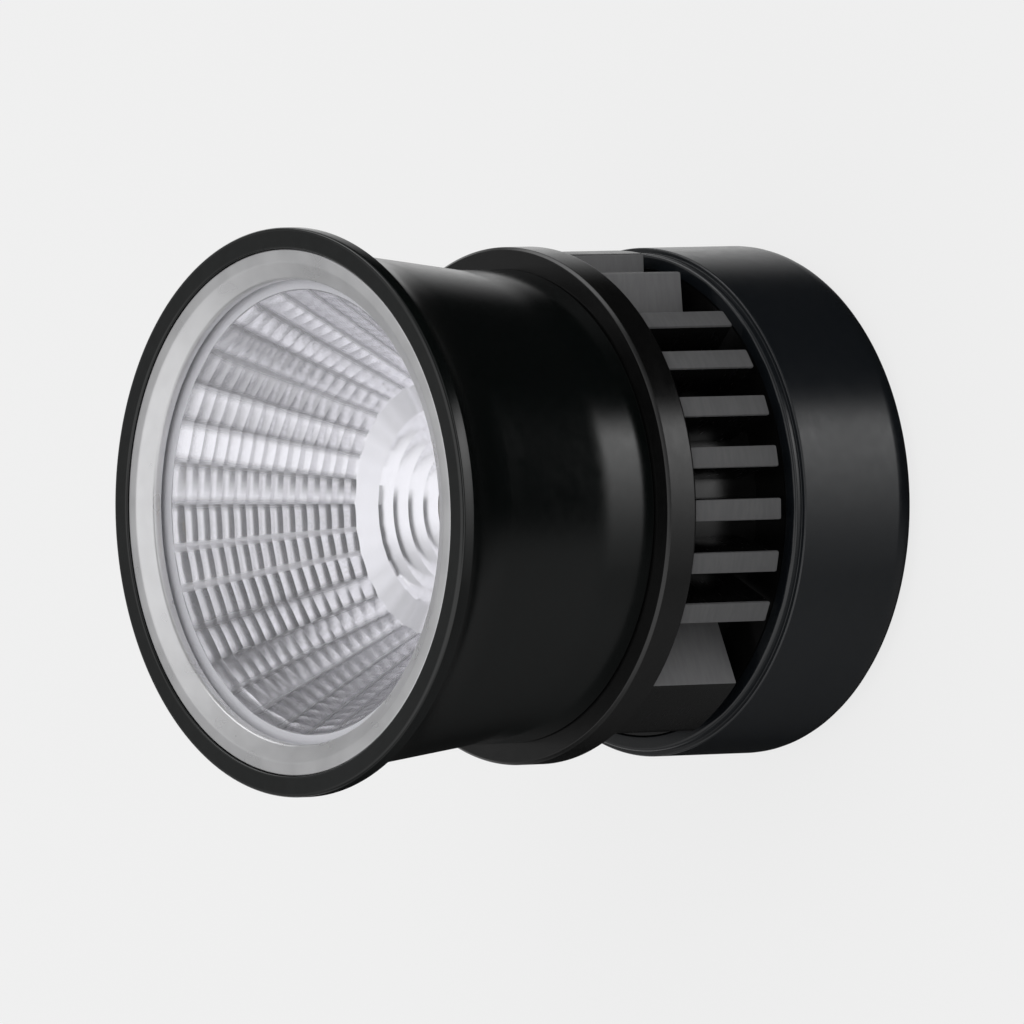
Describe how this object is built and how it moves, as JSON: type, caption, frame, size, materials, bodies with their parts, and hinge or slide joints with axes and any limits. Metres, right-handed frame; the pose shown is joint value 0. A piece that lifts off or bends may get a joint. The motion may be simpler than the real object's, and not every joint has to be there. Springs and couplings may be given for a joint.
{
  "type": "led module",
  "caption": "Round flanged LED module: black barrel with faceted reflector under a clear cover, finned heat sink and rear cap that houses the driver.",
  "frame": {"origin": "centre of the rear face of the rear cap", "axes": "+Z along the axis towards the light-emitting front; the screw posts of the cap lie near the X axis"},
  "size_m": [0.05, 0.05, 0.0535],
  "materials": {
    "barrel_black": "black anodised, soft gloss",
    "sink_black": "black coated casting",
    "cap_black": "moulded, satin",
    "ring_clear": "translucent, satin",
    "cover_clear": "clear",
    "reflector_silver": "vacuum metallised",
    "holder_white": "moulded",
    "screw_steel": "zinc plated",
    "board_metal": "bright board",
    "dam_white": "silicone",
    "phosphor_yellow": "silicone with phosphor",
    "pad_grey": "soft pad",
    "wire_red": "wire insulation",
    "wire_black": "wire insulation",
    "insulation_sheet": "fibre sheet",
    "pcb_green": "coated board",
    "ferrite": "sintered",
    "winding_amber": "wound wire under tape",
    "capacitor_blue": "sleeved can",
    "capacitor_black": "sleeved can",
    "package_black": "moulded package",
    "resistor_green": "coated",
    "film_red": "moulded box",
    "grommet_black": "moulded"
  },
  "bodies": {
    "root": {"barrel": "barrel_black", "heat_sink": "sink_black", "rear_cap": "cap_black", "retaining_ring": "ring_clear", "cover_glass": "cover_clear", "reflector": "reflector_silver", "cob_holder": "holder_white", "holder_screws": "screw_steel", "cap_screws": "screw_steel", "led_board": "board_metal", "dam_ring": "dam_white", "phosphor_disc": "phosphor_yellow", "thermal_pad": "pad_grey", "lead_wire_positive": "wire_red", "lead_wire_negative": "wire_black", "insulation_disc": "insulation_sheet", "driver_board": "pcb_green", "transformer_core": "ferrite", "transformer_winding": "winding_amber", "input_capacitor": "capacitor_blue", "output_capacitor": "capacitor_black", "bridge_rectifier": "package_black", "driver_chip": "package_black", "fuse_resistor": "resistor_green", "film_capacitor": "film_red", "cable_grommet": "grommet_black"}
  },
  "joints": []
}
